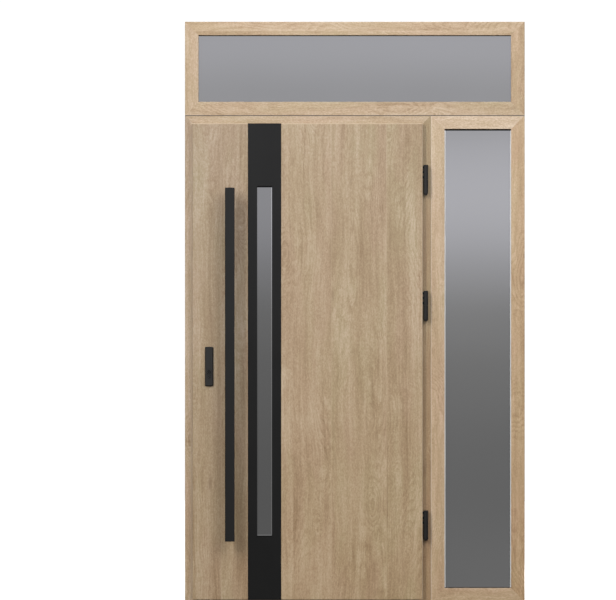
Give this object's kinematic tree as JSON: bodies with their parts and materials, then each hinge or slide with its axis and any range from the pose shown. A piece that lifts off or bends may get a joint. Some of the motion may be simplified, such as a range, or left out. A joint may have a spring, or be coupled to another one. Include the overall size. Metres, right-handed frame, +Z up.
{
  "type": "exterior door with transom and sidelight",
  "caption": "Outward opening insulated exterior door in light oak finish with a black glazed strip, long pull bar, glazed transom and glazed sidelight.",
  "frame": {"origin": "middle of the underside of the whole set, at half the depth of the frame", "axes": "+X to the right seen from outside, +Y into the building, +Z up"},
  "size_m": [1.45, 0.192, 2.475],
  "materials": {
    "oak_finish": "light oak décor on frame, leaf and glazed frames, satin",
    "black_strip": "fine matt black powder coat",
    "black_hardware": "matt black",
    "graphite_glass": "graphite reflective glass",
    "spacer_bar": "black warm edge spacer",
    "black_rubber": "black glazing and weather seal",
    "bronze_aluminium": "bronze anodised",
    "black_polyamide": "black polyamide",
    "core_board": "oak edged insulated core",
    "satin_steel": "satin steel",
    "nickel": "satin nickel"
  },
  "bodies": {
    "frame": {"door_head": "oak_finish", "frame_seal": "black_rubber", "hinge_frame_halves": "black_hardware", "hinge_jamb": "oak_finish", "hinge_pins": "satin_steel", "left_jamb": "oak_finish", "sidelight_beads": "oak_finish", "sidelight_bottom_rail": "oak_finish", "sidelight_gaskets": "black_rubber", "sidelight_glass": "graphite_glass", "sidelight_left_stile": "oak_finish", "sidelight_right_stile": "oak_finish", "sidelight_spacers": "spacer_bar", "sidelight_top_rail": "oak_finish", "strike_plates": "satin_steel", "threshold": "bronze_aluminium", "threshold_thermal_break": "black_polyamide", "transom_beads": "oak_finish", "transom_bottom_rail": "oak_finish", "transom_gaskets": "black_rubber", "transom_glass": "graphite_glass", "transom_left_stile": "oak_finish", "transom_right_stile": "oak_finish", "transom_spacers": "spacer_bar", "transom_top_rail": "oak_finish"},
    "leaf": {"hinge_leaf_halves": "black_hardware", "inner_glazing_frame": "black_strip", "inner_handle_plate": "black_hardware", "inner_lever": "black_hardware", "leaf_black_strip": "black_strip", "leaf_bottom_brush": "black_rubber", "leaf_core": "core_board", "leaf_inner_panel": "oak_finish", "leaf_outer_panel": "oak_finish", "lock_bolts": "satin_steel", "lock_cylinder": "nickel", "lock_escutcheon": "black_hardware", "lock_faceplate": "satin_steel", "pull_bar": "black_hardware", "pull_bar_posts": "black_hardware", "strip_glass": "graphite_glass", "strip_glass_gaskets": "black_rubber", "strip_glass_spacers": "spacer_bar"},
    "plug": {"cylinder_plug": "nickel"}
  },
  "joints": [
    {"name": "leaf_swing", "type": "hinge", "parent": "frame", "child": "leaf", "pos_m": [0.303, -0.058, 1], "axis": [0, 0, 1], "range_deg": [0, 110]},
    {"name": "plug_turn", "type": "hinge", "parent": "leaf", "child": "plug", "pos_m": [-0.6215, -0.07, 0.9806], "axis": [0, 1, 0], "continuous": true}
  ]
}
